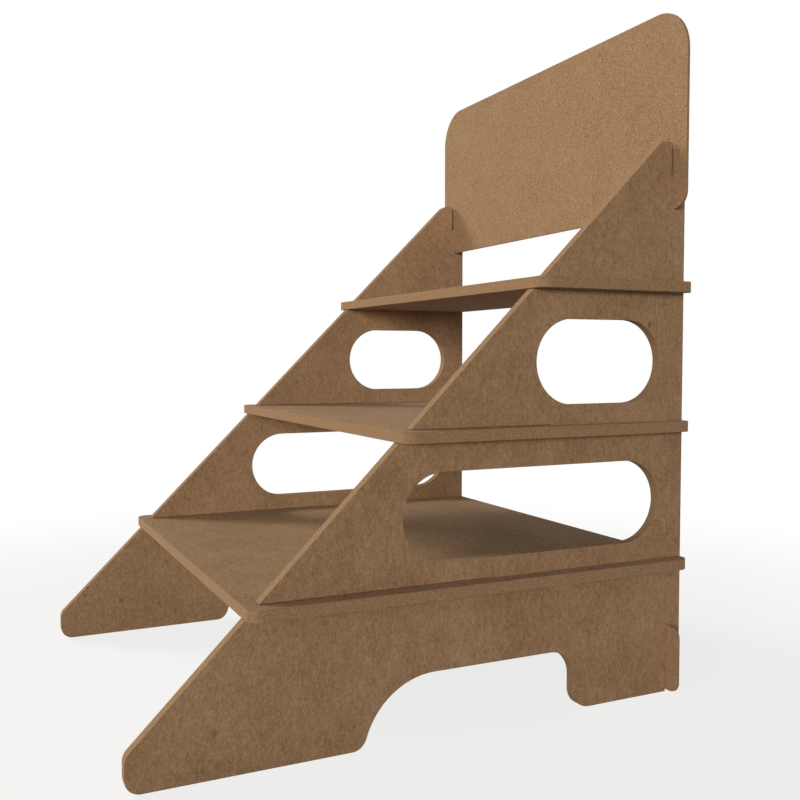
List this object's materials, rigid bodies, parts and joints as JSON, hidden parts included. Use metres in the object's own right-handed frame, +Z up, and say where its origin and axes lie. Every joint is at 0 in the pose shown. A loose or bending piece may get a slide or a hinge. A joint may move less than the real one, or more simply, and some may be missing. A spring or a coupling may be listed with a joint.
{
  "type": "cardboard display stand",
  "caption": "Floor or counter display stand of slotted brown board: sloping sides with round-ended windows and arched feet, stepped shelves, a rear brace and a raised header panel.",
  "frame": {"origin": "on the floor, under the middle of the stand's overall box", "axes": "+Z up; the open, stepped front faces -Y; +X runs across the stand to the right as seen from the front"},
  "size_m": [0.45, 0.5, 0.62],
  "materials": {
    "side_board": "matt brown solid board with dark and light fibres",
    "shelf_board": "matt brown solid board with dark and light fibres",
    "header_board": "matt brown solid board with dark and light fibres",
    "brace_board": "matt brown solid board with dark and light fibres"
  },
  "bodies": {
    "root": {"right_side": "side_board", "left_side": "side_board", "lower_shelf": "shelf_board", "middle_shelf": "shelf_board", "upper_shelf": "shelf_board", "header_panel": "header_board", "rear_brace": "brace_board"}
  },
  "joints": []
}
